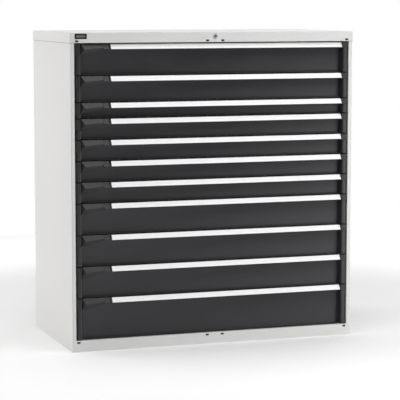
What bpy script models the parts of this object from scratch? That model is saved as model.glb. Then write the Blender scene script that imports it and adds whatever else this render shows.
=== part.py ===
# Tall industrial chest of drawers: folded sheet-steel case with a lift-over top
# cover, eleven drawers on full-extension telescopic rails, a grip lever on every
# drawer and a central lock. Metres, +Z up, origin on the floor under the middle.
import bpy
import bmesh
import math
from mathutils import Matrix, Vector

MM = 0.001

# ---------------------------------------------------------------- dimensions, mm
WIDTH = 1430.0            # over the top cover
DEPTH = 725.0             # over the top cover, without the lock's rim
HEIGHT = 1505.0
LOCK_PROUD = 3.0          # lock rim stands in front of the cover
YF = -(DEPTH - LOCK_PROUD) / 2.0      # front plane of the cover; +Y is the back
SHEET = 1.5               # case and cover sheet
BODY_X = 713.2            # half width of the case body
BODY_Y0, BODY_Y1 = 1.8, 723.2         # body front and back, measured from YF
BODY_TOP = 1502.5
PLINTH_H = 54.0           # bottom band
STILE_X = 694.3           # inner edge of the front stiles
STILE_RETURN = 32.0       # how far the stiles fold back
COVER_Z0 = 1457.5         # lower edge of the cover's skirt
MODULES = [150, 125, 75, 100, 100, 100, 100, 150, 150, 150, 200]
FIRST_TOP = 1455.0        # top of the first front module
FRONT_GAP_TOP = 2.0       # front is this much under its module's top
FRONT_GAP_BOTTOM = 2.5    # and this much over its module's bottom
RECESS = 33.0             # panel behind the pillars
PAN_T = 1.5               # front pan sheet
TRAY_T = 1.2              # tray sheet
TRAY_X = 650.0
TRAY_Y0, TRAY_Y1 = 33.6, 640.0
TRAY_DROP = 18.0          # tray wall under its module's top
CAP_X = 690.0             # outer end of the handle's end pieces
CAP_H_LEFT, CAP_H_RIGHT = 54.0, 30.0
RAIL_Z0, RAIL_Z1 = 12.0, 43.0         # fixed rail over its module's bottom
RAIL_T = 2.0              # rail sheet, and the running gap between rails
LATCH_PIVOT_Y, LATCH_PIVOT_Z = 19.0, -9.5   # grip lever's pin, from YF and module top
LATCH_X0, LATCH_X1 = -664.9, -553.4
LOCK_Z = 1484.8
PLUG_R, RIM_R = 8.5, 12.0
BAR_X = 600.0
BAR_ARM_TOP = 1477.5
SLOT_W, SLOT_H = 16.0, 9.0
SLOT_X = (-682.0, -38.5, 38.5, 682.0)

# ---------------------------------------------------------------- clean start
for ob in list(bpy.data.objects):
    bpy.data.objects.remove(ob, do_unlink=True)
for block in (bpy.data.meshes, bpy.data.curves, bpy.data.materials):
    for item in list(block):
        block.remove(item)

ASSEMBLY = bpy.data.collections.new("tall_chest_of_drawers")
bpy.context.scene.collection.children.link(ASSEMBLY)
BENCH = bpy.data.collections.new("cutters")
bpy.context.scene.collection.children.link(BENCH)


# ---------------------------------------------------------------- materials
def material(name, colour, roughness, metallic):
    mat = bpy.data.materials.new(name)
    mat.use_nodes = True
    bsdf = mat.node_tree.nodes["Principled BSDF"]
    bsdf.inputs["Base Color"].default_value = (*colour, 1.0)
    bsdf.inputs["Roughness"].default_value = roughness
    bsdf.inputs["Metallic"].default_value = metallic
    return mat


COLOURS = {
    "case_body": ((0.60, 0.60, 0.585), 0.55, 0.0),
    "case_top": ((0.62, 0.62, 0.605), 0.55, 0.0),
    "runner_frame": ((0.55, 0.56, 0.57), 0.40, 1.0),
    "drawer": ((0.040, 0.041, 0.047), 0.50, 0.0),
    "handle": ((0.030, 0.030, 0.032), 0.45, 0.0),
    "latch": ((0.050, 0.050, 0.050), 0.55, 0.0),
    "slide": ((0.58, 0.59, 0.60), 0.35, 1.0),
    "lock_cylinder": ((0.65, 0.65, 0.66), 0.25, 1.0),
    "lock_bar": ((0.52, 0.53, 0.54), 0.45, 1.0),
}


# ---------------------------------------------------------------- bench tools
def bench_object(name, mesh):
    ob = bpy.data.objects.new(name, mesh)
    BENCH.objects.link(ob)
    ob.hide_render = True
    ob.display_type = 'WIRE'
    return ob


def mesh_from_bmesh(name, bm):
    bmesh.ops.recalc_face_normals(bm, faces=bm.faces)
    mesh = bpy.data.meshes.new(name)
    bm.to_mesh(mesh)
    bm.free()
    return mesh


def box(x0, x1, y0, y1, z0, z1):
    """A cuboid from its limits in mm, y counted back from the front plane."""
    bm = bmesh.new()
    size = Matrix.Diagonal(((x1 - x0) * MM, (y1 - y0) * MM, (z1 - z0) * MM, 1.0))
    mid = Matrix.Translation(((x0 + x1) * MM / 2, (y0 + y1) * MM / 2, (z0 + z1) * MM / 2))
    bmesh.ops.create_cube(bm, size=1.0, matrix=mid @ size)
    return bench_object("box", mesh_from_bmesh("box", bm))


def rod(radius, y0, y1, z=0.0, segments=32):
    """A cylinder along Y, in mm."""
    bm = bmesh.new()
    place = Matrix.Translation((0.0, (y0 + y1) * MM / 2, z * MM)) @ Matrix.Rotation(math.pi / 2, 4, 'X')
    bmesh.ops.create_cone(bm, cap_ends=True, cap_tris=False, segments=segments,
                          radius1=radius * MM, radius2=radius * MM,
                          depth=(y1 - y0) * MM, matrix=place)
    return bench_object("rod", mesh_from_bmesh("rod", bm))


AXES = {
    # where the outline's own x, y and its thickness point
    "Z": Matrix(((1, 0, 0, 0), (0, 1, 0, 0), (0, 0, 1, 0), (0, 0, 0, 1))),
    "Y": Matrix(((1, 0, 0, 0), (0, 0, 1, 0), (0, 1, 0, 0), (0, 0, 0, 1))),
    "X": Matrix(((0, 0, 1, 0), (1, 0, 0, 0), (0, 1, 0, 0), (0, 0, 0, 1))),
}


def prism(outline, axis, a0, a1):
    """A flat filled outline (mm) extruded from a0 to a1 along an axis.
    Along Z the outline is (x, y), along Y it is (x, z), along X it is (y, z)."""
    curve = bpy.data.curves.new("outline", 'CURVE')
    curve.dimensions = '2D'
    curve.fill_mode = 'BOTH'
    curve.extrude = (a1 - a0) * MM / 2
    spline = curve.splines.new('POLY')
    spline.points.add(len(outline) - 1)
    for point, (u, v) in zip(spline.points, outline):
        point.co = (u * MM, v * MM, 0.0, 1.0)
    spline.use_cyclic_u = True
    flat = bpy.data.objects.new("outline", curve)
    BENCH.objects.link(flat)
    graph = bpy.context.evaluated_depsgraph_get()
    mesh = bpy.data.meshes.new_from_object(flat.evaluated_get(graph))
    bpy.data.objects.remove(flat, do_unlink=True)
    bm = bmesh.new()
    bm.from_mesh(mesh)
    bpy.data.meshes.remove(mesh)
    bmesh.ops.remove_doubles(bm, verts=bm.verts, dist=1e-6)
    bmesh.ops.transform(bm, verts=bm.verts,
                        matrix=AXES[axis] @ Matrix.Translation((0, 0, (a0 + a1) * MM / 2)))
    return bench_object("prism", mesh_from_bmesh("prism", bm))


def folded_sheet(line, z0, z1, thickness):
    """A sheet standing upright on a plan polyline (mm), thickened to the line's
    left-hand side as it is walked."""
    bm = bmesh.new()
    low = [bm.verts.new((x * MM, y * MM, z0 * MM)) for x, y in line]
    edges = [bm.edges.new(pair) for pair in zip(low, low[1:])]
    made = bmesh.ops.extrude_edge_only(bm, edges=edges)
    top = [v for v in made["geom"] if isinstance(v, bmesh.types.BMVert)]
    bmesh.ops.translate(bm, verts=top, vec=(0, 0, (z1 - z0) * MM))
    # every face looks to the right of the walk, so Solidify fills the left
    bm.normal_update()
    bm.faces.ensure_lookup_table()
    mesh = bpy.data.meshes.new("sheet")
    for face in bm.faces:
        mid = face.calc_center_median()
        run = None
        for a, b in zip(line, line[1:]):
            c = Vector(((a[0] + b[0]) * MM / 2, (a[1] + b[1]) * MM / 2))
            if (c - mid.xy).length < 1e-7:
                run = Vector((b[0] - a[0], b[1] - a[1]))
        right = Vector((run.y, -run.x))
        if face.normal.xy.dot(right) < 0:
            face.normal_flip()
    bm.to_mesh(mesh)
    bm.free()
    ob = bench_object("sheet", mesh)
    mod = ob.modifiers.new("thickness", 'SOLIDIFY')
    mod.thickness = thickness * MM
    mod.offset = -1.0
    mod.use_even_offset = True
    return settle(ob)


def open_tray(x, y0, y1, z0, z1, thickness):
    """A box without a lid, its sheet thickness inside the given limits."""
    ob = box(-x, x, y0, y1, z0, z1)
    bm = bmesh.new()
    bm.from_mesh(ob.data)
    lid = [f for f in bm.faces if f.normal.z > 0.9]
    bmesh.ops.delete(bm, geom=lid, context='FACES_ONLY')
    bm.to_mesh(ob.data)
    bm.free()
    mod = ob.modifiers.new("thickness", 'SOLIDIFY')
    mod.thickness = thickness * MM
    mod.offset = -1.0
    mod.use_even_offset = True
    return settle(ob)


def settle(ob):
    """Apply an object's modifiers to its mesh."""
    graph = bpy.context.evaluated_depsgraph_get()
    graph.update()
    mesh = bpy.data.meshes.new_from_object(ob.evaluated_get(graph))
    ob.modifiers.clear()
    old = ob.data
    ob.data = mesh
    bpy.data.meshes.remove(old)
    return ob


def combine(base, operation, *others):
    for other in others:
        mod = base.modifiers.new(operation.lower(), 'BOOLEAN')
        mod.operation = operation
        mod.solver = 'EXACT'
        mod.object = other
    settle(base)
    for other in others:
        mesh = other.data
        bpy.data.objects.remove(other, do_unlink=True)
        bpy.data.meshes.remove(mesh)
    return base


def join(*others):
    return combine(others[0], 'UNION', *others[1:])


def cut(base, *others):
    return combine(base, 'DIFFERENCE', *others)


def group(*others):
    """Separate solids that are welded on in one go."""
    bm = bmesh.new()
    for other in others:
        bm.from_mesh(other.data)
    for other in others:
        mesh = other.data
        bpy.data.objects.remove(other, do_unlink=True)
        bpy.data.meshes.remove(mesh)
    return bench_object("group", mesh_from_bmesh("group", bm))


def mirrored(outline):
    return [(-u, v) for u, v in reversed(outline)]


def rounded_block(x, y0, y1, z0, z1, radius):
    """A cuboid with its four upright edges rounded."""
    ob = box(-x, x, y0, y1, z0, z1)
    bm = bmesh.new()
    bm.from_mesh(ob.data)
    upright = [e for e in bm.edges
               if abs(e.verts[0].co.x - e.verts[1].co.x) < 1e-6
               and abs(e.verts[0].co.y - e.verts[1].co.y) < 1e-6]
    bmesh.ops.bevel(bm, geom=upright, offset=radius * MM, offset_type='OFFSET',
                    segments=3, profile=0.5, affect='EDGES')
    bm.to_mesh(ob.data)
    bm.free()
    return ob


def take_mesh(ob, name):
    """Take a finished shape off the bench."""
    mesh = ob.data
    bpy.data.objects.remove(ob, do_unlink=True)
    mesh.name = name
    return mesh


def piece(name, mesh, look, location, smooth=False):
    ob = bpy.data.objects.new(name, mesh)
    ASSEMBLY.objects.link(ob)
    ob.location = [c * MM for c in location]
    if not mesh.materials:
        mesh.materials.append(None)
    ob.material_slots[0].link = 'OBJECT'
    ob.material_slots[0].material = material(name + "_finish", *COLOURS[look])
    if smooth:
        mesh.shade_smooth()
        mesh.set_sharp_from_angle(angle=math.radians(30))
    return ob


def slots(z, y0, y1):
    return [box(x - SLOT_W / 2, x + SLOT_W / 2, y0, y1, z - SLOT_H / 2, z + SLOT_H / 2)
            for x in SLOT_X]


# ---------------------------------------------------------------- case body
def make_case_body():
    body = rounded_block(BODY_X, BODY_Y0, BODY_Y1, 0.0, BODY_TOP, 3.0)
    xi, yi0, yi1 = BODY_X - SHEET, BODY_Y0 + SHEET, BODY_Y1 - SHEET
    # drawer space with its open front; the stiles keep a folded return
    right = [(STILE_X, -5.0), (STILE_X, STILE_RETURN), (STILE_X + SHEET, STILE_RETURN),
             (STILE_X + SHEET, yi0), (xi, yi0), (xi, yi1)]
    space = prism(right + mirrored(right), "Z", PLINTH_H, BODY_TOP + 50.0)
    plinth = box(-xi, xi, yi0, yi1, SHEET, PLINTH_H - SHEET)
    under = box(-xi + 26.0, xi - 26.0, yi0 + 26.0, yi1 - 26.0, -5.0, 10.0)
    cut(body, space, plinth, under)
    cut(body, group(*slots(44.0, -4.0, 8.0)))
    return take_mesh(body, "case_body")


# ---------------------------------------------------------------- top cover
def make_case_top():
    cover = rounded_block(WIDTH / 2, 0.0, DEPTH, COVER_Z0, HEIGHT, 4.5)
    inside = rounded_block(WIDTH / 2 - SHEET, SHEET, DEPTH - SHEET,
                           COVER_Z0 - 20.0, HEIGHT - SHEET, 3.0)
    cut(cover, inside)
    # the front band folds back under itself over the drawers
    fold = box(-STILE_X + 0.4, STILE_X - 0.4, 0.8, 36.0, COVER_Z0 + 0.4, COVER_Z0 + 0.4 + SHEET)
    rim = rod(RIM_R, -LOCK_PROUD, 1.0, LOCK_Z)
    join(cover, fold, rim)
    cut(cover, rod(PLUG_R + 0.3, -10.0, 8.0, LOCK_Z), group(*slots(1465.5, -4.0, 5.0)))
    return take_mesh(cover, "case_top")


# ---------------------------------------------------------------- runner frame
def make_runner_frame():
    def upright(y0, y1):
        return [(694.6, y0), (711.2, y0), (711.2, y0 + SHEET), (694.6 + SHEET, y0 + SHEET),
                (694.6 + SHEET, y1 - SHEET), (711.2, y1 - SHEET), (711.2, y1), (694.6, y1)]
    posts = []
    for y0, y1 in ((36.0, 66.0), (636.0, 666.0)):
        line = upright(y0, y1)
        posts.append(prism(line, "Z", 55.0, 1449.0))
        posts.append(prism(mirrored(line), "Z", 55.0, 1449.0))
    ties = group(box(-703.0, 703.0, 665.0, 667.0, 125.0, 165.0),
                 box(-703.0, 703.0, 665.0, 667.0, 1250.0, 1290.0))
    rails, brackets = [], []
    top = FIRST_TOP
    for height in MODULES:
        base = top - height
        z0, z1 = base + RAIL_Z0, base + RAIL_Z1
        line = [(674, z0), (690, z0), (690, z1), (674, z1), (674, z1 - RAIL_T),
                (690 - RAIL_T, z1 - RAIL_T), (690 - RAIL_T, z0 + RAIL_T), (674, z0 + RAIL_T)]
        rails.append(prism(line, "Y", 48.0, 662.0))
        rails.append(prism(mirrored(line), "Y", 48.0, 662.0))
        for y0, y1 in ((51.0, 63.0), (642.0, 658.0)):
            brackets.append(box(689.2, 695.4, y0, y1, z0 + 4, z1 - 4))
            brackets.append(box(-695.4, -689.2, y0, y1, z0 + 4, z1 - 4))
        top = base
    frame = join(group(*posts), ties, group(*brackets), group(*rails))
    return take_mesh(frame, "runner_frame")


# ---------------------------------------------------------------- drawer tray
def make_tray(height):
    """Welded drawer: front pan with its two pillars, tray and side flanges.
    z counts from the module's bottom."""
    z0, z1 = FRONT_GAP_BOTTOM, height - FRONT_GAP_TOP
    inner = [(670.0 - 7.5 * math.cos(a), 9.0 - 7.5 * math.sin(a))
             for a in (0.0, math.pi / 4, math.pi / 2)]
    outer = [(681.0 + 7.0 * math.sin(a), 8.5 - 7.0 * math.cos(a))
             for a in (0.0, math.pi / 4, math.pi / 2)]
    right = [(654.0, RECESS)] + inner + outer + [(688.0, 44.0)]
    line = mirrored(right) + right
    pan = folded_sheet(line, z0, z1, PAN_T)
    # room for the handle's end pieces
    cut(pan,
        box(-700.0, -646.0, -5.0, 32.8, height - CAP_H_LEFT - 1.0, height + 10.0),
        box(646.0, 700.0, -5.0, 32.8, height - CAP_H_RIGHT - 1.0, height + 10.0))
    shelf = box(-652.5, 652.5, 14.0, RECESS + 0.9, z0 + 0.2, z0 + 0.2 + PAN_T)
    tray = open_tray(TRAY_X, TRAY_Y0, TRAY_Y1, 3.4, height - TRAY_DROP, TRAY_T)
    webs = group(box(649.4, 651.4, 52.0, 638.0, 16.0, 40.0),
                 box(-651.4, -649.4, 52.0, 638.0, 16.0, 40.0))
    flanges = group(box(650.6, 666.0, 53.0, 637.0, 27.0, 29.0),
                    box(-666.0, -650.6, 53.0, 637.0, 27.0, 29.0))
    join(pan, shelf, tray, webs, flanges)
    return take_mesh(pan, "drawer_%d" % height)


# ---------------------------------------------------------------- handle
def make_handle():
    """Label profile along the front's top edge with its two end pieces.
    z counts down from the module's top."""
    section = [(13.0, -2.0), (32.4, -2.0), (32.4, -30.0), (30.7, -30.0), (30.7, -4.6),
               (15.6, -4.6), (4.3, -27.6), (3.2, -29.0), (1.2, -29.0), (0.3, -27.9)]
    profile = prism(section, "X", -552.5, 661.6)
    back_plate = box(-668.0, -545.0, 28.5, 31.8, -54.0, -2.6)
    bridge = box(-668.0, -551.0, 18.5, 31.6, -4.4, -2.2)
    left = prism([(-690.0, 4.0), (-688.9, 1.9), (-686.5, 0.8), (-668.0, 0.8),
                  (-665.6, 3.0), (-665.6, 31.6), (-690.0, 31.6)], "Z", -CAP_H_LEFT, -2.1)
    right = prism([(661.0, 0.8), (686.5, 0.8), (688.9, 1.9), (690.0, 4.0),
                   (690.0, 31.5), (661.0, 31.5)], "Z", -CAP_H_RIGHT, -2.1)
    join(profile, back_plate, bridge, left, right)
    return take_mesh(profile, "handle")


# ---------------------------------------------------------------- grip lever
def slice_off(bm, a, b, c, keep):
    """Cut a convex solid with the plane through three points and keep one side."""
    a, b, c, keep = (Vector(p) * MM for p in (a, b, c, keep))
    normal = (b - a).cross(c - a).normalized()
    if normal.dot(keep - a) > 0:
        normal = -normal
    bmesh.ops.bisect_plane(bm, geom=bm.verts[:] + bm.edges[:] + bm.faces[:], dist=1e-7,
                           plane_co=a, plane_no=normal, clear_outer=True)
    rim = [e for e in bm.edges if e.is_boundary]
    bmesh.ops.holes_fill(bm, edges=rim, sides=0)


def make_latch():
    """Faceted lever; its origin is on the pin, so the shape is moved there."""
    section = [(13.0, -2.0), (15.4, -2.0), (15.4, -8.0), (26.5, -8.0), (26.5, -53.5),
               (0.1, -53.5), (0.1, -28.3)]
    blank = prism(section, "X", LATCH_X0, LATCH_X1)
    bm = bmesh.new()
    bm.from_mesh(blank.data)
    inside = (-600.0, 20.0, -12.0)
    # underside facet: rises to the right and runs back to the panel
    slice_off(bm, (-643.5, 0.1, -28.3), (-554.0, 3.9, -20.4), (-640.0, 25.0, -54.0), inside)
    # left flank, slanting in towards the nose
    slice_off(bm, (-660.0, 13.0, -2.0), (-643.5, 0.1, -28.3), (-664.9, 22.5, -54.0), inside)
    # lower edge, rising to the right
    slice_off(bm, (-632.0, 26.5, -53.5), (-545.0, 26.5, -28.0), (-545.0, 0.0, -28.0), inside)
    bmesh.ops.translate(bm, verts=bm.verts,
                        vec=(0.0, -LATCH_PIVOT_Y * MM, -LATCH_PIVOT_Z * MM))
    mesh = blank.data
    bmesh.ops.recalc_face_normals(bm, faces=bm.faces)
    bm.to_mesh(mesh)
    bm.free()
    return take_mesh(blank, "latch")


# ---------------------------------------------------------------- middle rails
def make_slide(side):
    z0, z1 = RAIL_Z0 + 2 * RAIL_T, RAIL_Z1 - 2 * RAIL_T
    line = [(656, z0), (686, z0), (686, z0 + RAIL_T), (672, z0 + RAIL_T), (672, z1 - RAIL_T),
            (686, z1 - RAIL_T), (686, z1), (656, z1), (656, z1 - RAIL_T), (670, z1 - RAIL_T),
            (670, z0 + RAIL_T), (656, z0 + RAIL_T)]
    if side < 0:
        line = mirrored(line)
    return take_mesh(prism(line, "Y", 50.0, 655.0), "slide_%s" % ("left" if side < 0 else "right"))


# ---------------------------------------------------------------- central lock
def make_lock_cylinder():
    plug = rod(PLUG_R, -LOCK_PROUD, 22.0)
    join(plug, rod(4.0, 21.0, 28.0, segments=16), box(-3.0, 12.0, 25.0, 27.5, -3.0, 3.0))
    cut(plug, box(-0.7, 0.7, -10.0, 6.0, -4.0, 4.0))
    return take_mesh(plug, "lock_cylinder")


def make_lock_bar():
    z1 = BAR_ARM_TOP
    bar = box(BAR_X - 12.5, BAR_X + 12.5, 670.0, 673.0, 70.0, z1 - 0.3)
    cross = box(-7.6, BAR_X + 12.2, 655.0, 672.6, z1 - 2.5, z1)
    arm = box(-8.0, 8.0, 24.5, 660.0, z1 - 2.3, z1 - 0.2)
    tabs = []
    top = FIRST_TOP
    for height in MODULES:
        base = top - height
        tabs.append(box(BAR_X - 9.5, BAR_X + 9.5, 650.0, 671.5, base + 30.0, base + 33.0))
        top = base
    join(bar, cross, arm, group(*tabs))
    return take_mesh(bar, "lock_bar")


# ---------------------------------------------------------------- assembly
piece("case_body", make_case_body(), "case_body", (0, YF, 0), smooth=True)
piece("case_top", make_case_top(), "case_top", (0, YF, 0), smooth=True)
piece("runner_frame", make_runner_frame(), "runner_frame", (0, YF, 0))
piece("lock_cylinder", make_lock_cylinder(), "lock_cylinder", (0, YF, LOCK_Z), smooth=True)
piece("lock_bar", make_lock_bar(), "lock_bar", (0, YF, 0))

trays = {height: make_tray(height) for height in sorted(set(MODULES))}
handle = make_handle()
latch = make_latch()
slide_left, slide_right = make_slide(-1), make_slide(1)

module_top = FIRST_TOP
for number, module in enumerate(MODULES, start=1):
    module_bottom = module_top - module
    tag = "%02d" % number
    piece("drawer_" + tag, trays[module], "drawer", (0, YF, module_bottom), smooth=True)
    piece("handle_" + tag, handle, "handle", (0, YF, module_top), smooth=True)
    piece("latch_" + tag, latch, "latch",
          (0, YF + LATCH_PIVOT_Y, module_top + LATCH_PIVOT_Z))
    piece("slide_%s_left" % tag, slide_left, "slide", (0, YF, module_bottom))
    piece("slide_%s_right" % tag, slide_right, "slide", (0, YF, module_bottom))
    module_top = module_bottom
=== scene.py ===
# Looks of the tall chest of drawers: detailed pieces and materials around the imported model.
import bpy
import bmesh
import math
from mathutils import Matrix, Vector


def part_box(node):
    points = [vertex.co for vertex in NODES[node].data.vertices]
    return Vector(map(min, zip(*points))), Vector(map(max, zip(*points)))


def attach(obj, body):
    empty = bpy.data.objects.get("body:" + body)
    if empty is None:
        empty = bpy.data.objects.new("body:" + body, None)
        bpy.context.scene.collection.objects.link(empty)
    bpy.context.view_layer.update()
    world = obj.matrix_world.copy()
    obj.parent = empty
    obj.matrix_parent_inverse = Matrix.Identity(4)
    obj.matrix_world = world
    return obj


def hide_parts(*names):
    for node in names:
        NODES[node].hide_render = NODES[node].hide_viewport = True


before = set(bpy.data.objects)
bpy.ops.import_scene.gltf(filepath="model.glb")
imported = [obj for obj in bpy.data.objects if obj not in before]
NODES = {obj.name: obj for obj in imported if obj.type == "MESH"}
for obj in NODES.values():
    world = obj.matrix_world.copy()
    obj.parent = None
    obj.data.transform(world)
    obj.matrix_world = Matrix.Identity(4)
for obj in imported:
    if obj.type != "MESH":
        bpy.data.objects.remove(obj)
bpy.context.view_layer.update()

MM = 0.001
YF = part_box("case_body")[0].y - 1.8 * MM          # front plane of the cover
COUNT = 11
TAGS = ["%02d" % (i + 1) for i in range(COUNT)]
BOTTOM, TOP = {}, {}
for tag in TAGS:
    lo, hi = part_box("drawer_" + tag)
    BOTTOM[tag] = lo.z - 2.5 * MM
    TOP[tag] = hi.z + 2.0 * MM


# =====================================================================
# materials
# =====================================================================
def new_material(name):
    mat = bpy.data.materials.new(name)
    mat.use_nodes = True
    tree = mat.node_tree
    return mat, tree, tree.nodes["Principled BSDF"]


def add(tree, kind, **settings):
    node = tree.nodes.new(kind)
    for key, value in settings.items():
        if key in node.inputs:
            node.inputs[key].default_value = value
        else:
            setattr(node, key, value)
    return node


def ramp(tree, source, stops):
    node = tree.nodes.new("ShaderNodeValToRGB")
    tree.links.new(source, node.inputs["Fac"])
    elements = node.color_ramp.elements
    while len(elements) > 1:
        elements.remove(elements[-1])
    elements[0].position = stops[0][0]
    elements[0].color = (*stops[0][1], 1.0)
    for position, colour in stops[1:]:
        element = elements.new(position)
        element.color = (*colour, 1.0)
    return node


def shade(colour, factor):
    return tuple(max(0.0, min(1.0, c * factor)) for c in colour)


def coordinates(tree, scale=(1, 1, 1)):
    geo = tree.nodes.new("ShaderNodeNewGeometry")
    mapping = tree.nodes.new("ShaderNodeMapping")
    mapping.inputs["Scale"].default_value = scale
    coord = tree.nodes.new("ShaderNodeTexCoord")
    tree.links.new(coord.outputs["Object"], mapping.inputs["Vector"])
    tree.nodes.remove(geo)
    return mapping.outputs["Vector"]


def powder_coat(name, colour, rough, peel=0.00012, tint=0.04, cell=700.0, spec=0.5):
    """Baked powder paint: fine orange peel, faint pooling of colour and small changes of gloss."""
    mat, tree, bsdf = new_material(name)
    vec = coordinates(tree)
    fine = add(tree, "ShaderNodeTexNoise", Scale=cell, Detail=3.0, Roughness=0.55)
    broad = add(tree, "ShaderNodeTexNoise", Scale=9.0, Detail=4.0, Roughness=0.6)
    speck = add(tree, "ShaderNodeTexVoronoi", Scale=cell * 0.45)
    for node in (fine, broad, speck):
        tree.links.new(vec, node.inputs["Vector"])
    tone = ramp(tree, broad.outputs["Fac"], [(0.30, shade(colour, 1.0 - tint)), (0.70, shade(colour, 1.0 + tint))])
    grit = ramp(tree, speck.outputs["Distance"], [(0.0, (0.96, 0.96, 0.96)), (0.6, (1.0, 1.0, 1.0))])
    mix = add(tree, "ShaderNodeMix", data_type='RGBA', blend_type='MULTIPLY')
    mix.inputs[0].default_value = 0.7
    tree.links.new(tone.outputs["Color"], mix.inputs[6])
    tree.links.new(grit.outputs["Color"], mix.inputs[7])
    tree.links.new(mix.outputs[2], bsdf.inputs["Base Color"])
    gloss = ramp(tree, broad.outputs["Fac"], [(0.25, (rough - 0.05,) * 3), (0.75, (rough + 0.06,) * 3)])
    tree.links.new(gloss.outputs["Color"], bsdf.inputs["Roughness"])
    bump = add(tree, "ShaderNodeBump", Strength=0.55, Distance=peel)
    tree.links.new(fine.outputs["Fac"], bump.inputs["Height"])
    tree.links.new(bump.outputs["Normal"], bsdf.inputs["Normal"])
    bsdf.inputs["Specular IOR Level"].default_value = spec
    return mat


def moulded_plastic(name, colour, rough, grain=0.00010, cell=900.0):
    """Spark-eroded mould grain with slightly polished high spots."""
    mat, tree, bsdf = new_material(name)
    vec = coordinates(tree)
    cells = add(tree, "ShaderNodeTexVoronoi", Scale=cell, feature='SMOOTH_F1')
    noise = add(tree, "ShaderNodeTexNoise", Scale=cell * 0.35, Detail=3.0, Roughness=0.6)
    wide = add(tree, "ShaderNodeTexNoise", Scale=25.0, Detail=3.0, Roughness=0.55)
    for node in (cells, noise, wide):
        tree.links.new(vec, node.inputs["Vector"])
    tone = ramp(tree, wide.outputs["Fac"], [(0.3, shade(colour, 0.90)), (0.7, shade(colour, 1.12))])
    tree.links.new(tone.outputs["Color"], bsdf.inputs["Base Color"])
    gloss = ramp(tree, noise.outputs["Fac"], [(0.3, (rough - 0.07,) * 3), (0.7, (rough + 0.07,) * 3)])
    tree.links.new(gloss.outputs["Color"], bsdf.inputs["Roughness"])
    bump = add(tree, "ShaderNodeBump", Strength=0.5, Distance=grain)
    tree.links.new(cells.outputs["Distance"], bump.inputs["Height"])
    tree.links.new(bump.outputs["Normal"], bsdf.inputs["Normal"])
    return mat


def rolled_metal(name, colour, rough, stretch, spangle=0.0, depth=0.00004):
    """Plated sheet or turned metal: rolling lines along one axis and soft clouding."""
    mat, tree, bsdf = new_material(name)
    lines = add(tree, "ShaderNodeTexNoise", Scale=1.0, Detail=5.0, Roughness=0.6)
    tree.links.new(coordinates(tree, stretch), lines.inputs["Vector"])
    cloud = add(tree, "ShaderNodeTexVoronoi", Scale=70.0)
    tree.links.new(coordinates(tree), cloud.inputs["Vector"])
    low, high = shade(colour, 0.86), shade(colour, 1.06)
    tone = ramp(tree, lines.outputs["Fac"], [(0.3, low), (0.7, high)])
    flake = ramp(tree, cloud.outputs["Color"], [(0.0, (1.0 - spangle,) * 3), (1.0, (1.0,) * 3)])
    mix = add(tree, "ShaderNodeMix", data_type='RGBA', blend_type='MULTIPLY')
    mix.inputs[0].default_value = 1.0
    tree.links.new(tone.outputs["Color"], mix.inputs[6])
    tree.links.new(flake.outputs["Color"], mix.inputs[7])
    tree.links.new(mix.outputs[2], bsdf.inputs["Base Color"])
    gloss = ramp(tree, lines.outputs["Fac"], [(0.25, (rough - 0.08,) * 3), (0.75, (rough + 0.10,) * 3)])
    tree.links.new(gloss.outputs["Color"], bsdf.inputs["Roughness"])
    bump = add(tree, "ShaderNodeBump", Strength=0.4, Distance=depth)
    tree.links.new(lines.outputs["Fac"], bump.inputs["Height"])
    tree.links.new(bump.outputs["Normal"], bsdf.inputs["Normal"])
    bsdf.inputs["Metallic"].default_value = 1.0
    return mat


def label_paper(name):
    """White card under a clear cover film: faint fibre mottling, smooth gloss on top."""
    mat, tree, bsdf = new_material(name)
    vec = coordinates(tree)
    fibre = add(tree, "ShaderNodeTexNoise", Scale=1500.0, Detail=4.0, Roughness=0.65)
    cloud = add(tree, "ShaderNodeTexNoise", Scale=30.0, Detail=2.0)
    tree.links.new(vec, fibre.inputs["Vector"])
    tree.links.new(vec, cloud.inputs["Vector"])
    tone = ramp(tree, cloud.outputs["Fac"], [(0.3, (0.93, 0.93, 0.93)), (0.7, (0.96, 0.96, 0.96))])
    tree.links.new(tone.outputs["Color"], bsdf.inputs["Base Color"])
    gloss = ramp(tree, fibre.outputs["Fac"], [(0.3, (0.50,) * 3), (0.7, (0.64,) * 3)])
    tree.links.new(gloss.outputs["Color"], bsdf.inputs["Roughness"])
    bump = add(tree, "ShaderNodeBump", Strength=0.2, Distance=0.00001)
    tree.links.new(fibre.outputs["Fac"], bump.inputs["Height"])
    tree.links.new(bump.outputs["Normal"], bsdf.inputs["Normal"])
    bsdf.inputs["Coat Weight"].default_value = 0.6
    bsdf.inputs["Coat Roughness"].default_value = 0.22
    return mat


CASE_GREY = powder_coat("case_powder_coat", (0.704, 0.698, 0.683), 0.50, tint=0.012)
ANTHRACITE = powder_coat("anthracite_powder_coat", (0.0213, 0.0206, 0.0254), 0.46, tint=0.07, spec=0.45)
PROFILE = powder_coat("profile_anodised", (0.022, 0.022, 0.024), 0.42, peel=0.00005, tint=0.05, cell=1400.0)
CAP_PLASTIC = moulded_plastic("end_piece_plastic", (0.012, 0.012, 0.0125), 0.52)
LEVER_PLASTIC = moulded_plastic("lever_plastic", (0.032, 0.032, 0.032), 0.50)
ROLLER_PLASTIC = moulded_plastic("roller_plastic", (0.60, 0.60, 0.57), 0.45, cell=600.0)
RAIL_STEEL = rolled_metal("rail_zinc_plate", (0.60, 0.61, 0.62), 0.36, (90.0, 4.0, 90.0))
FRAME_STEEL = rolled_metal("frame_galvanised", (0.55, 0.56, 0.57), 0.42, (60.0, 60.0, 4.0), spangle=0.14)
LOCK_METAL = rolled_metal("lock_nickel", (0.56, 0.55, 0.54), 0.28, (400.0, 20.0, 400.0))
LABEL = label_paper("label_card")
# painted shade: near-black colour for the strip that stands in for the shadow line in the cover seam
SEAM_SHADE = moulded_plastic("seam_shade_paint", (0.055, 0.055, 0.054), 0.62, grain=0.00008)
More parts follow.
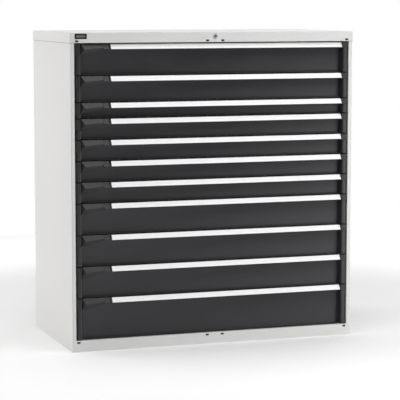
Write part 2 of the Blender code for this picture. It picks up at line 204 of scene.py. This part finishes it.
PLUG_PLASTIC = moulded_plastic("plug_plastic", (0.006, 0.006, 0.006), 0.55)
BADGE = moulded_plastic("plate_black", (0.005, 0.005, 0.0055), 0.34, grain=0.00005)
BADGE_INLAY = rolled_metal("plate_inlay_satin", (0.62, 0.62, 0.62), 0.40, (500.0, 500.0, 12.0))


def paint(ob, mat):
    ob.data.materials.clear()
    ob.data.materials.append(mat)
    return ob


def paint_cad(name, mat):
    ob = NODES[name]
    if not ob.material_slots:
        ob.data.materials.append(mat)
    for slot in ob.material_slots:
        slot.material = mat
    return ob


# =====================================================================
# mesh tools (mm in, y counted back from the front plane)
# =====================================================================
def finish_piece(name, bm, mat, origin=(0, 0, 0), angle=35.0, bevel=0.0, segments=2):
    bmesh.ops.recalc_face_normals(bm, faces=bm.faces)
    mesh = bpy.data.meshes.new(name)
    bm.to_mesh(mesh)
    bm.free()
    ob = bpy.data.objects.new(name, mesh)
    bpy.context.scene.collection.objects.link(ob)
    ob.location = origin
    paint(ob, mat)
    if bevel:
        mod = ob.modifiers.new("edges", 'BEVEL')
        mod.width = bevel * MM
        mod.segments = segments
        mod.limit_method = 'ANGLE'
        mod.angle_limit = math.radians(30)
        mod.harden_normals = True
    mesh.shade_smooth()
    mesh.set_sharp_from_angle(angle=math.radians(angle))
    return ob


def copy_piece(source, name, origin):
    ob = source.copy()
    ob.name = name
    bpy.context.scene.collection.objects.link(ob)
    ob.location = origin
    return ob


def add_box(bm, x0, x1, y0, y1, z0, z1):
    size = Matrix.Diagonal(((x1 - x0) * MM, (y1 - y0) * MM, (z1 - z0) * MM, 1.0))
    mid = Matrix.Translation(((x0 + x1) * MM / 2, (y0 + y1) * MM / 2, (z0 + z1) * MM / 2))
    return bmesh.ops.create_cube(bm, size=1.0, matrix=mid @ size)["verts"]


def place(axis, u, v, w):
    """(u, v) of a section and w along its run, as a point in metres."""
    if axis == 'X':
        return Vector((w, u, v)) * MM
    if axis == 'Y':
        return Vector((u, w, v)) * MM
    return Vector((u, v, w)) * MM


def fillet(points, radii, steps=5, closed=False):
    """Round the corners of a polyline: radii is one number or one per point."""
    n = len(points)
    if not isinstance(radii, (list, tuple)):
        radii = [radii] * n
    out = []
    for i, p in enumerate(points):
        if (not closed and i in (0, n - 1)) or radii[i] <= 0:
            out.append(tuple(p))
            continue
        p = Vector(p)
        a = Vector(points[i - 1]) - p
        b = Vector(points[(i + 1) % n]) - p
        la, lb = a.length, b.length
        a.normalize()
        b.normalize()
        half = math.acos(max(-1.0, min(1.0, a.dot(b)))) / 2
        if half > math.pi / 2 - 0.02:
            out.append(tuple(p))
            continue
        r = min(radii[i], 0.48 * min(la, lb) * math.tan(half))
        t = r / math.tan(half)
        centre = p + (a + b).normalized() * (r / math.sin(half))
        start, end = p + a * t - centre, p + b * t - centre
        a0, a1 = math.atan2(start.y, start.x), math.atan2(end.y, end.x)
        turn = (a1 - a0 + math.pi) % (2 * math.pi) - math.pi
        for k in range(steps + 1):
            ang = a0 + turn * k / steps
            out.append((centre.x + r * math.cos(ang), centre.y + r * math.sin(ang)))
    return out


def add_sheet(bm, line, thickness, axis, w0, w1):
    """A folded sheet: the polyline is one face, the thickness is on the left of the walk."""
    n = len(line)
    pts = [Vector(p) for p in line]
    inner = []
    for i, p in enumerate(pts):
        before = (p - pts[i - 1]).normalized() if i > 0 else None
        after = (pts[i + 1] - p).normalized() if i < n - 1 else None
        before = before or after
        after = after or before
        na, nb = Vector((-before.y, before.x)), Vector((-after.y, after.x))
        mean = (na + nb)
        mean.normalize()
        scale = 1.0 / max(0.35, mean.dot(na))
        inner.append(p + mean * thickness * scale)
    rows = []
    for w in (w0, w1):
        rows.append(([bm.verts.new(place(axis, p.x, p.y, w)) for p in pts],
                     [bm.verts.new(place(axis, p.x, p.y, w)) for p in inner]))
    (o0, i0), (o1, i1) = rows
    for k in range(n - 1):
        bm.faces.new((o0[k], o0[k + 1], o1[k + 1], o1[k]))
        bm.faces.new((i0[k], i1[k], i1[k + 1], i0[k + 1]))
        bm.faces.new((o0[k], i0[k], i0[k + 1], o0[k + 1]))
        bm.faces.new((o1[k], o1[k + 1], i1[k + 1], i1[k]))
    bm.faces.new((o0[0], o1[0], i1[0], i0[0]))
    bm.faces.new((o0[-1], i0[-1], i1[-1], o1[-1]))


def add_prism(bm, outline, axis, w0, w1):
    a = [bm.verts.new(place(axis, u, v, w0)) for u, v in outline]
    b = [bm.verts.new(place(axis, u, v, w1)) for u, v in outline]
    n = len(outline)
    for k in range(n):
        bm.faces.new((a[k], a[(k + 1) % n], b[(k + 1) % n], b[k]))
    bm.faces.new(list(reversed(a)))
    bm.faces.new(b)
    return a + b


def add_turned(bm, profile, centre, axis='Y', segments=40):
    """A closed turned ring or knob: profile is (along, radius) in mm, closed on itself."""
    rings = []
    for k in range(segments):
        ang = 2 * math.pi * k / segments
        ring = []
        for along, radius in profile:
            c, s = radius * math.cos(ang), radius * math.sin(ang)
            if axis == 'Y':
                p = Vector((centre[0] + c, centre[1] + along, centre[2] + s))
            else:
                p = Vector((centre[0] + along, centre[1] + c, centre[2] + s))
            ring.append(bm.verts.new(p * MM))
        rings.append(ring)
    n = len(profile)
    for k in range(segments):
        r0, r1 = rings[k], rings[(k + 1) % segments]
        for j in range(n):
            bm.faces.new((r0[j], r0[(j + 1) % n], r1[(j + 1) % n], r1[j]))


def mirrored(line):
    return [(-u, v) for u, v in reversed(line)]


def boolean(ob, operation, *others):
    for other in others:
        mod = ob.modifiers.new(operation.lower(), 'BOOLEAN')
        mod.operation = operation
        mod.solver = 'EXACT'
        mod.object = other
    graph = bpy.context.evaluated_depsgraph_get()
    graph.update()
    mesh = bpy.data.meshes.new_from_object(ob.evaluated_get(graph))
    ob.modifiers.clear()
    old = ob.data
    ob.data = mesh
    bpy.data.meshes.remove(old)
    for other in others:
        data = other.data
        bpy.data.objects.remove(other, do_unlink=True)
        bpy.data.meshes.remove(data)
    return ob


def cutter(*boxes):
    bm = bmesh.new()
    for limits in boxes:
        add_box(bm, *limits)
    mesh = bpy.data.meshes.new("cutter")
    bmesh.ops.recalc_face_normals(bm, faces=bm.faces)
    bm.to_mesh(mesh)
    bm.free()
    ob = bpy.data.objects.new("cutter", mesh)
    bpy.context.scene.collection.objects.link(ob)
    return ob


# =====================================================================
# drawers: front, tray, telescopic rail and rollers
# =====================================================================
PAN_T, TRAY_T = 1.5, 1.2


def front_mesh(height):
    """Folded front: recessed panel between two rounded pillars, with a stiffening lip along the foot."""
    z0, z1 = 2.5, height - 2.0
    inner = [(670.0 - 7.5 * math.cos(a), 9.0 - 7.5 * math.sin(a))
             for a in (math.pi / 2 * k / 7 for k in range(8))]
    outer = [(681.0 + 7.0 * math.sin(a), 8.5 - 7.0 * math.cos(a))
             for a in (math.pi / 2 * k / 7 for k in range(8))]
    right = [(652.6, 33.0), (653.6, 32.6), (654.3, 31.8)] + inner + outer + [(688.0, 44.0)]
    bm = bmesh.new()
    add_sheet(bm, mirrored(right) + right, PAN_T * MM / MM, 'Z', z0, z1)
    ob = finish_piece("front_panel", bm, ANTHRACITE)
    boolean(ob, 'DIFFERENCE',
            cutter((-700.0, -646.0, -5.0, 32.8, height - 55.0, height + 10.0)),
            cutter((646.0, 700.0, -5.0, 32.8, height - 31.0, height + 10.0)))
    bm = bmesh.new()
    foot = fillet([(14.0, z0 + 0.2), (34.2, z0 + 0.2), (34.2, z0 + 6.5)], [0, 2.2, 0], 4)
    add_sheet(bm, foot, 1.4, 'X', -652.0, 652.0)
    lip = finish_piece("foot", bm, ANTHRACITE)
    boolean(ob, 'UNION', lip)
    ob.data.shade_smooth()
    ob.data.set_sharp_from_angle(angle=math.radians(28))
    return ob


def tray_mesh(height):
    """Folded tray: slotted walls for dividers, a slotted floor and hemmed top edges."""
    z0, z1 = 3.4, height - 18.0
    x, y0, y1, t = 650.0, 34.4, 640.0, TRAY_T
    bm = bmesh.new()
    add_box(bm, -x, x, y0, y1, z0, z1)
    ob = finish_piece("tray", bm, ANTHRACITE)
    # the hollow, then the narrower mouth between the hems
    boolean(ob, 'DIFFERENCE', cutter((-x + t, x - t, y0 + t, y1 - t, z0 + t, z1 - t)))
    boolean(ob, 'DIFFERENCE', cutter((-x + 5.0, x - 5.0, y0 + 5.0, y1 - 5.0, z1 - 4.0, z1 + 6.0)))
    edge = ob.modifiers.new("edges", 'BEVEL')
    edge.width = 0.5 * MM
    edge.segments = 2
    edge.limit_method = 'ANGLE'
    edge.angle_limit = math.radians(40)
    cuts = bmesh.new()
    # a row of short upright slots along the back wall and both side walls
    top = z1 - 9.0
    low = z0 + 12.0
    if top - low > 12.0:
        n = 24
        for k in range(n):
            px = -x + 40.0 + (2 * x - 80.0) * k / (n - 1)
            add_box(cuts, px - 1.6, px + 1.6, y1 - 3.5, y1 + 3.0, low, top)
        m = 11
        for k in range(m):
            py = y0 + 45.0 + (y1 - y0 - 90.0) * k / (m - 1)
            for side in (-1, 1):
                if top > 48.0:
                    add_box(cuts, side * x - 3.0, side * x + 3.0, py - 1.6, py + 1.6, 46.0, top)
    # short slots in the floor
    for k in range(12):
        px = -x + 85.0 + (2 * x - 170.0) * k / 11
        for j in range(5):
            py = y0 + 80.0 + (y1 - y0 - 160.0) * j / 4
            add_box(cuts, px - 1.6, px + 1.6, py - 14.0, py + 14.0, z0 - 3.0, z0 + 3.0)
    mesh = bpy.data.meshes.new("slots")
    bmesh.ops.recalc_face_normals(cuts, faces=cuts.faces)
    cuts.to_mesh(mesh)
    cuts.free()
    slots = bpy.data.objects.new("slots", mesh)
    bpy.context.scene.collection.objects.link(slots)
    boolean(ob, 'DIFFERENCE', slots)
    ob.data.shade_smooth()
    ob.data.set_sharp_from_angle(angle=math.radians(28))
    return ob


def drawer_rail_mesh(side):
    """The drawer's own rail: a web on the tray's side with a flange that runs in the middle rail."""
    s = side
    bm = bmesh.new()
    add_box(bm, *sorted((s * 650.15, s * 651.6)), 52.0, 638.0, 16.0, 40.0)
    line = [(s * 651.2, 27.1), (s * 665.0, 27.1)]
    add_box(bm, *sorted((s * 651.2, s * 665.8)), 53.0, 585.0, 27.2, 28.8)
    # a turned-down stiffening hem
    add_box(bm, *sorted((s * 664.6, s * 665.8)), 53.0, 585.0, 23.6, 28.0)
    return finish_piece("drawer_rail", bm, RAIL_STEEL, bevel=0.35)


def roller_mesh(side, x0, x1, radius, centres):
    """Turned rollers with a groove each side."""
    bm = bmesh.new()
    for y, z in centres:
        w = x1 - x0
        sign = 1.0 if side > 0 else -1.0
        prof = [(0.0, 3.0), (0.0, radius - 2.2), (0.5, radius - 0.7), (1.6, radius), (w - 1.6, radius),
                (w - 0.5, radius - 0.7), (w, radius - 2.2), (w, 5.6), (w - 1.2, 4.8), (w - 1.2, 3.0)]
        prof = [(sign * (x0 + a), r) for a, r in prof]
        add_turned(bm, prof, (0.0, y, z), axis='X', segments=28)
    return finish_piece("roller", bm, ROLLER_PLASTIC, angle=40)


def pin_mesh(side, x0, x1, radius, centres):
    bm = bmesh.new()
    for y, z in centres:
        sign = 1.0 if side > 0 else -1.0
        prof = [(0.0, 0.02), (0.0, radius), (x1 - x0 - 1.6, radius), (x1 - x0 - 1.6, radius + 1.6),
                (x1 - x0 - 0.6, radius + 1.5), (x1 - x0, radius + 0.4), (x1 - x0, 0.02)]
        prof = [(sign * (x0 + a), r) for a, r in prof]
        add_turned(bm, prof, (0.0, y, z), axis='X', segments=20)
    return finish_piece("roller_pin", bm, LOCK_METAL, angle=30)


fronts, trays = {}, {}
for height in sorted({round((TOP[t] - BOTTOM[t]) / MM) for t in TAGS}):
    fronts[height] = front_mesh(float(height))
    trays[height] = tray_mesh(float(height))
rail = {1: drawer_rail_mesh(1), -1: drawer_rail_mesh(-1)}
moving_roller = {s: roller_mesh(s, 654.4, 664.6, 9.0, [(612.0, 27.5)]) for s in (1, -1)}
moving_pin = {s: pin_mesh(s, 650.4, 665.4, 2.8, [(612.0, 27.5)]) for s in (1, -1)}
fixed_roller = {s: roller_mesh(s, 674.6, 685.0, 9.0, [(78.0, 27.5), (352.0, 27.5)]) for s in (1, -1)}

SIDE_NAME = {1: "right", -1: "left"}
for tag in TAGS:
    height = round((TOP[tag] - BOTTOM[tag]) / MM)
    unit = "drawer_unit_" + tag
    base = (0.0, YF, BOTTOM[tag])
    panel = copy_piece(fronts[height], "front_panel_" + tag, base)
    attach(panel, unit)
    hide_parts("drawer_" + tag)
    tray = copy_piece(trays[height], "tray_" + tag, base)
    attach(tray, unit)
    for side, word in SIDE_NAME.items():
        part = copy_piece(rail[side], "drawer_rail_%s_%s" % (tag, word), base)
        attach(part, unit)
        part = copy_piece(moving_roller[side], "drawer_roller_%s_%s" % (tag, word), base)
        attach(part, unit)
        part = copy_piece(moving_pin[side], "drawer_roller_pin_%s_%s" % (tag, word), base)
        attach(part, unit)
        part = copy_piece(fixed_roller[side], "case_rollers_%s_%s" % (tag, word), base)
        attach(part, "case")
for group in (fronts, trays, rail, moving_roller, moving_pin, fixed_roller):
    for ob in group.values():
        bpy.data.objects.remove(ob, do_unlink=True)

# =====================================================================
# handles: aluminium profile, label, clear cover, lever housing, end cap
# =====================================================================
FACE_TOP = Vector((13.0, -2.0))
FACE_DIR = (Vector((0.3, -27.9)) - FACE_TOP).normalized()
FACE_OUT = Vector((-abs(FACE_DIR.y), abs(FACE_DIR.x)))        # forwards and up
FACE_LEN = (Vector((0.3, -27.9)) - FACE_TOP).length
LABEL_X0, LABEL_X1 = -519.0, 661.0


def on_face(s, out=0.0):
    p = FACE_TOP + FACE_DIR * s + FACE_OUT * out
    return (p.x, p.y)


def profile_mesh():
    section = [on_face(0.0), on_face(1.5), on_face(1.5, -0.5), on_face(1.1, -0.8), on_face(1.1, -1.5),
               on_face(FACE_LEN - 1.1, -1.5), on_face(FACE_LEN - 1.1, -0.8), on_face(FACE_LEN - 1.5, -0.5),
               on_face(FACE_LEN - 1.5), on_face(FACE_LEN)]
    section += [(0.5, -28.6), (1.2, -29.0), (3.2, -29.0), (4.0, -28.4), (4.3, -27.6), (15.0, -5.4),
                (15.6, -4.8), (16.4, -4.6), (29.6, -4.6), (30.4, -4.9), (30.7, -5.7),
                (30.7, -30.0), (32.4, -30.0), (32.4, -2.6), (32.2, -2.1), (31.8, -2.0)]
    bm = bmesh.new()
    add_prism(bm, section, 'X', LABEL_X0, LABEL_X1)
    return finish_piece("handle_profile", bm, PROFILE, bevel=0.15, segments=1)


def strip_mesh(name, s0, s1, out0, out1, x0, x1, mat, bevel, slant=0.0):
    """Flat strip on the sloping face; its left end may be cut at a slant."""
    bm = bmesh.new()
    add_prism(bm, [on_face(s0, out0), on_face(s1, out0), on_face(s1, out1), on_face(s0, out1)], 'X', x0, x1)
    low = FACE_TOP.y + FACE_DIR.y * (s0 + s1) / 2
    for v in bm.verts:
        if v.co.x < (x0 + x1) / 2 * MM and v.co.z < low * MM:
            v.co.x += slant * MM
    return finish_piece(name, bm, mat, bevel=bevel, segments=1)


def housing_mesh():
    """Lever housing on the left: cap over the pillar, bridge over the lever and plate behind it."""
    cap = fillet([(-690.0, 2.6), (-688.4, 0.8), (-668.0, 0.8), (-665.6, 3.2), (-665.6, 31.6), (-690.0, 31.6)],
                 [3.0, 2.4, 2.2, 2.2, 0.8, 0.8], 5, closed=True)
    bm = bmesh.new()
    add_prism(bm, cap, 'Z', -54.0, -2.1)
    ob = finish_piece("lever_housing", bm, CAP_PLASTIC)
    bm = bmesh.new()
    add_prism(bm, [(-668.0, -54.0), (-632.0, -54.0), (-552.0, -33.0), (-519.0, -31.0), (-519.0, -2.6), (-668.0, -2.6)],
              'Y', 28.5, 31.8)
    back = finish_piece("back", bm, CAP_PLASTIC)
    bm = bmesh.new()
    add_box(bm, -668.0, -551.0, 18.5, 31.6, -4.4, -2.2)
    bridge = finish_piece("bridge", bm, CAP_PLASTIC)
    bm = bmesh.new()
    for x, low in ((-640.0, -53.0), (-600.0, -45.0), (-566.0, -36.0)):
        add_box(bm, x - 1.0, x + 1.0, 27.4, 29.0, low, -3.4)
    ribs = finish_piece("ribs", bm, CAP_PLASTIC)
    boolean(ob, 'UNION', back, bridge, ribs)
    ob.data.shade_smooth()
    ob.data.set_sharp_from_angle(angle=math.radians(28))
    mod = ob.modifiers.new("edges", 'BEVEL')
    mod.width = 0.7 * MM
    mod.segments = 3
    mod.limit_method = 'ANGLE'
    mod.angle_limit = math.radians(40)
    return ob


def end_cap_mesh():
    outline = fillet([(661.0, 0.8), (688.4, 0.8), (690.0, 2.6), (690.0, 31.5), (661.0, 31.5)],
                     [1.0, 2.4, 3.0, 0.8, 0.8], 5, closed=True)
    bm = bmesh.new()
    add_prism(bm, outline, 'Z', -30.0, -2.1)
    ob = finish_piece("end_cap", bm, CAP_PLASTIC)
    ob.data.set_sharp_from_angle(angle=math.radians(28))
    mod = ob.modifiers.new("edges", 'BEVEL')
    mod.width = 0.8 * MM
    mod.segments = 3
    mod.limit_method = 'ANGLE'
    mod.angle_limit = math.radians(40)
    return ob


def grip_block_mesh():
    """Moulded block between lever and label: sloping face cut with three shallow grooves."""
    bm = bmesh.new()
    section = [on_face(0.6, -0.2), on_face(FACE_LEN - 1.4, -0.2), (2.2, -28.0), (4.6, -27.2), (15.6, -4.8), (28.6, -4.8), (28.6, -2.4)]
    add_prism(bm, section, 'X', -552.3, -526.0)
    ob = finish_piece("grip_block", bm, LEVER_PLASTIC)
    bm = bmesh.new()
    for x in (-546.0, -539.0, -532.0):
        add_prism(bm, [on_face(4.0, 0.6), on_face(FACE_LEN - 5.0, 0.6), on_face(FACE_LEN - 5.0, -0.9), on_face(4.0, -0.9)],
                  'X', x - 1.2, x + 1.2)
    grooves = finish_piece("grooves", bm, LEVER_PLASTIC)
    boolean(ob, 'DIFFERENCE', grooves)
    mod = ob.modifiers.new("edges", 'BEVEL')
    mod.width = 0.4 * MM
    mod.segments = 2
    mod.limit_method = 'ANGLE'
    mod.angle_limit = math.radians(30)
    return ob


masters = {
    "handle_profile": (profile_mesh(), "handle_aluminium"),
    "label_strip": (strip_mesh("label_strip", 1.3, FACE_LEN - 1.3, -1.45, -0.62, LABEL_X0 + 3.5, LABEL_X1 - 1.5, LABEL, 0.12, 0.8), "handle_aluminium"),
    "lever_housing": (housing_mesh(), "latch_plastic"),
    "end_cap": (end_cap_mesh(), "latch_plastic"),
    "grip_block": (grip_block_mesh(), "latch_plastic"),
}
for tag in TAGS:
    for kind, (master, finish) in masters.items():
        part = copy_piece(master, "%s_%s" % (kind, tag), (0.0, YF, TOP[tag]))
        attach(part, "drawer_unit_" + tag)
        if kind == "handle_profile":
            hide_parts("handle_" + tag)
for master, finish in masters.values():
    bpy.data.objects.remove(master, do_unlink=True)

# =====================================================================
# the CAD pieces that stay
# =====================================================================
def soften(name, width, segments=2, limit=30):
    """Join the flat facets and break the edges, without touching the mesh itself."""
    ob = NODES[name]
    flat = ob.modifiers.new("facets", 'DECIMATE')
    flat.decimate_type = 'DISSOLVE'
    flat.angle_limit = math.radians(0.6)
    mod = ob.modifiers.new("edges", 'BEVEL')
    mod.width = width * MM
    mod.segments = segments
    mod.limit_method = 'ANGLE'
    mod.angle_limit = math.radians(limit)
    mod.use_clamp_overlap = True


paint_cad("case_body", CASE_GREY)
paint_cad("case_top", CASE_GREY)
paint_cad("runner_frame", FRAME_STEEL)
paint_cad("lock_bar", FRAME_STEEL)
paint_cad("lock_cylinder", LOCK_METAL)
for tag in TAGS:
    paint_cad("slide_%s_left" % tag, RAIL_STEEL)
    paint_cad("slide_%s_right" % tag, RAIL_STEEL)
    paint_cad("latch_" + tag, LEVER_PLASTIC)
    soften("latch_" + tag, 0.9, 3)

# lock rim around the plug
lock_z = (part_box("lock_cylinder")[0].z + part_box("lock_cylinder")[1].z) / 2 / MM
lock_lo, lock_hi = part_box("lock_cylinder")
bm = bmesh.new()
add_turned(bm, [(0.2, 8.9), (-2.2, 8.9), (-3.0, 9.6), (-3.1, 10.4), (-2.9, 11.4), (-2.2, 12.05), (-1.0, 12.5), (0.2, 12.6)],
           (0.0, 0.0, 1484.8), segments=64)
rim = finish_piece("lock_rim", bm, LOCK_METAL, origin=(0.0, YF, 0.0), angle=50)
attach(rim, "case")

# plain plate at the cover's upper left corner
bm = bmesh.new()
outline = fillet([(-691.5, 1476.0), (-633.5, 1476.0), (-633.5, 1500.5), (-691.5, 1500.5)], 2.0, 5, closed=True)
add_prism(bm, outline, 'Y', -1.3, -0.05)
plate = finish_piece("name_plate_blank", bm, BADGE, origin=(0.0, YF, 0.0), bevel=0.35)
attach(plate, "case")
bm = bmesh.new()
for x0, x1, z0, z1 in ((-684.0, -641.0, 1486.6, 1489.8), (-684.0, -641.0, 1492.4, 1493.6), (-684.0, -641.0, 1482.6, 1483.8)):
    add_prism(bm, fillet([(x0, z0), (x1, z0), (x1, z1), (x0, z1)], 0.5, 3, closed=True), 'Y', -1.55, -1.2)
inlay = finish_piece("name_plate_lines", bm, BADGE_INLAY, origin=(0.0, YF, 0.0), bevel=0.1, segments=1)
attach(inlay, "case")

# painted shade: a dark strip in the step under the cover's skirt stands in for the seam's shadow line, open at the
# drawers
bm = bmesh.new()
for side in (1, -1):
    add_box(bm, *sorted((side * 713.25, side * 714.4)), 2.2, 722.8, 1456.2, 1457.35)
    add_box(bm, *sorted((side * 694.6, side * 712.8)), 0.6, 1.75, 1456.2, 1457.35)
add_box(bm, -712.8, 712.8, 723.25, 724.4, 1456.2, 1457.35)
seam_shade = finish_piece("cover_seam_shade", bm, SEAM_SHADE, origin=(0.0, YF, 0.0), bevel=0.2, segments=1)
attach(seam_shade, "case")

# rear: the lapped edges of the back sheet with their rivets, and the cover's screws
DOME = [(-0.4, 0.02), (-0.4, 4.6), (0.35, 4.6), (0.9, 4.1), (1.35, 2.9), (1.55, 1.4), (1.6, 0.02)]
for side, word in ((1, "right"), (-1, "left")):
    bm = bmesh.new()
    add_box(bm, *sorted((side * 684.0, side * 707.0)), 723.0, 724.3, 14.0, 1449.0)
    lap = finish_piece("back_lap_" + word, bm, CASE_GREY, origin=(0.0, YF, 0.0), bevel=0.45, segments=2)
    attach(lap, "case")
    bm = bmesh.new()
    for k in range(9):
        add_turned(bm, DOME, (side * 695.5, 724.3, 55.0 + 168.0 * k), axis='Y', segments=20)
    rivets = finish_piece("back_rivets_" + word, bm, CASE_GREY, origin=(0.0, YF, 0.0), angle=50)
    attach(rivets, "case")
bm = bmesh.new()
for x in (-620.0, -310.0, 0.0, 310.0, 620.0):
    add_turned(bm, [(-0.4, 0.02), (-0.4, 5.0), (0.9, 5.0), (1.7, 4.2), (2.1, 2.6), (2.1, 1.7), (0.9, 1.5), (0.9, 0.02)],
               (x, 725.0, 1481.0), axis='Y', segments=24)
screws = finish_piece("cover_screws", bm, LOCK_METAL, origin=(0.0, YF, 0.0), angle=40)
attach(screws, "case")

# black plugs in the cover's and the base's oblong holes
for level, z, face in (("cover", 1465.5, 0.5), ("base", 44.0, 2.3)):
    for k, x in enumerate((-682.0, -38.5, 38.5, 682.0)):
        bm = bmesh.new()
        outline = fillet([(x - 7.7, z - 4.2), (x + 7.7, z - 4.2), (x + 7.7, z + 4.2), (x - 7.7, z + 4.2)], 1.2, 4, closed=True)
        add_prism(bm, outline, 'Y', face, face + 0.9)
        for w in (-3.4, 3.4):
            add_prism(bm, [(x + w - 1.6, z - 3.0), (x + w + 1.6, z - 3.0), (x + w + 1.6, z + 3.0), (x + w - 1.6, z + 3.0)],
                      'Y', face - 0.3, face + 0.1)
        plug = finish_piece("hole_plug_%s_%d" % (level, k + 1), bm, PLUG_PLASTIC, origin=(0.0, YF, 0.0), bevel=0.15, segments=1)
        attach(plug, "case")

# =====================================================================
# floor, light, camera
# =====================================================================
# painted light: the floor's emission, rising from nothing at GLOW_NEAR metres out to GLOW at GLOW_FAR
GLOW_NEAR, GLOW_FAR, GLOW = 1.5, 3.3, 0.38
FLOOR_RADIUS = 3.8
mat, tree, bsdf = new_material("studio_floor")
vec = coordinates(tree)
noise = add(tree, "ShaderNodeTexNoise", Scale=1.2, Detail=2.0)
tree.links.new(vec, noise.inputs["Vector"])
tone = ramp(tree, noise.outputs["Fac"], [(0.3, (0.93, 0.93, 0.93)), (0.7, (0.95, 0.95, 0.95))])
tree.links.new(tone.outputs["Color"], bsdf.inputs["Base Color"])
bsdf.inputs["Roughness"].default_value = 0.7
bsdf.inputs["Specular IOR Level"].default_value = 0.2
# painted light: the floor itself glows, more and more away from where the cabinet stands, so that it reaches white
reach = add(tree, "ShaderNodeVectorMath", operation='LENGTH')
tree.links.new(vec, reach.inputs[0])
glow = add(tree, "ShaderNodeMapRange", interpolation_type='SMOOTHERSTEP')
glow.inputs["From Min"].default_value = GLOW_NEAR
glow.inputs["From Max"].default_value = GLOW_FAR
glow.inputs["To Min"].default_value = 0.0
glow.inputs["To Max"].default_value = GLOW
tree.links.new(reach.outputs["Value"], glow.inputs["Value"])
tree.links.new(glow.outputs["Result"], bsdf.inputs["Emission Strength"])
bsdf.inputs["Emission Color"].default_value = (1.0, 1.0, 1.0, 1.0)
bm = bmesh.new()
bmesh.ops.create_circle(bm, cap_ends=True, segments=128, radius=FLOOR_RADIUS)
mesh = bpy.data.meshes.new("studio_floor")
bm.to_mesh(mesh)
bm.free()
floor = bpy.data.objects.new("studio_floor", mesh)
bpy.context.scene.collection.objects.link(floor)
floor.location = (0, 0, -0.0002)
paint(floor, mat)
floor.data.shade_smooth()

# a white cyclorama all round, which shines less than it shows
WORLD_SHOWN, WORLD_LIGHT = 1.0, 0.07
world = bpy.data.worlds.new("studio")
bpy.context.scene.world = world
world.use_nodes = True
tree = world.node_tree
back = tree.nodes["Background"]
back.inputs["Color"].default_value = (1.0, 1.0, 1.0, 1.0)
path = tree.nodes.new("ShaderNodeLightPath")
level = tree.nodes.new("ShaderNodeMapRange")
level.inputs["To Min"].default_value = WORLD_LIGHT
level.inputs["To Max"].default_value = WORLD_SHOWN
tree.links.new(path.outputs["Is Camera Ray"], level.inputs["Value"])
tree.links.new(level.outputs["Result"], back.inputs["Strength"])


def area_light(name, location, target, size, power, colour=(1, 1, 1)):
    data = bpy.data.lights.new(name, 'AREA')
    data.shape = 'RECTANGLE'
    data.size, data.size_y = size
    data.energy = power
    data.color = colour
    ob = bpy.data.objects.new(name, data)
    bpy.context.scene.collection.objects.link(ob)
    ob.location = location
    ob.rotation_euler = (Vector(target) - Vector(location)).to_track_quat('-Z', 'Y').to_euler()
    return ob


LIGHTS = (
    ("overhead", (0.0, -0.9, 4.9), (0.0, 0.0, 0.8), (6.0, 6.0), 303.0),
    ("left_side", (-4.0, 1.2, 1.6), (-0.7, 0.1, 0.7), (3.0, 3.0), 66.0),
    ("left_back", (-3.2, 4.2, 1.1), (-0.7, 0.3, 0.5), (3.0, 2.2), 35.0),
    ("right_low", (2.4, -2.6, 0.7), (0.4, -0.3, 0.5), (1.8, 1.4), 39.0),
    ("right_back", (3.4, 3.4, 2.2), (0.6, 0.3, 0.7), (3.0, 3.0), 22.0),
)
for light in LIGHTS:
    area_light(*light)

bpy.context.scene.view_settings.view_transform = 'Standard'
bpy.context.scene.view_settings.look = 'None'

camera = bpy.data.cameras.new("camera")
camera.lens = 156.954
camera.sensor_width = 36.0
camera.clip_end = 200.0
view = bpy.data.objects.new("camera", camera)
bpy.context.scene.collection.objects.link(view)
yaw, pitch = math.radians(19.0808), math.radians(6.481)
aim = Vector((math.sin(yaw) * math.cos(pitch), math.cos(yaw) * math.cos(pitch), -math.sin(pitch)))
view.location = (-2.795067, -8.219067, 1.647281)
view.rotation_euler = aim.to_track_quat('-Z', 'Y').to_euler()
bpy.context.scene.camera = view
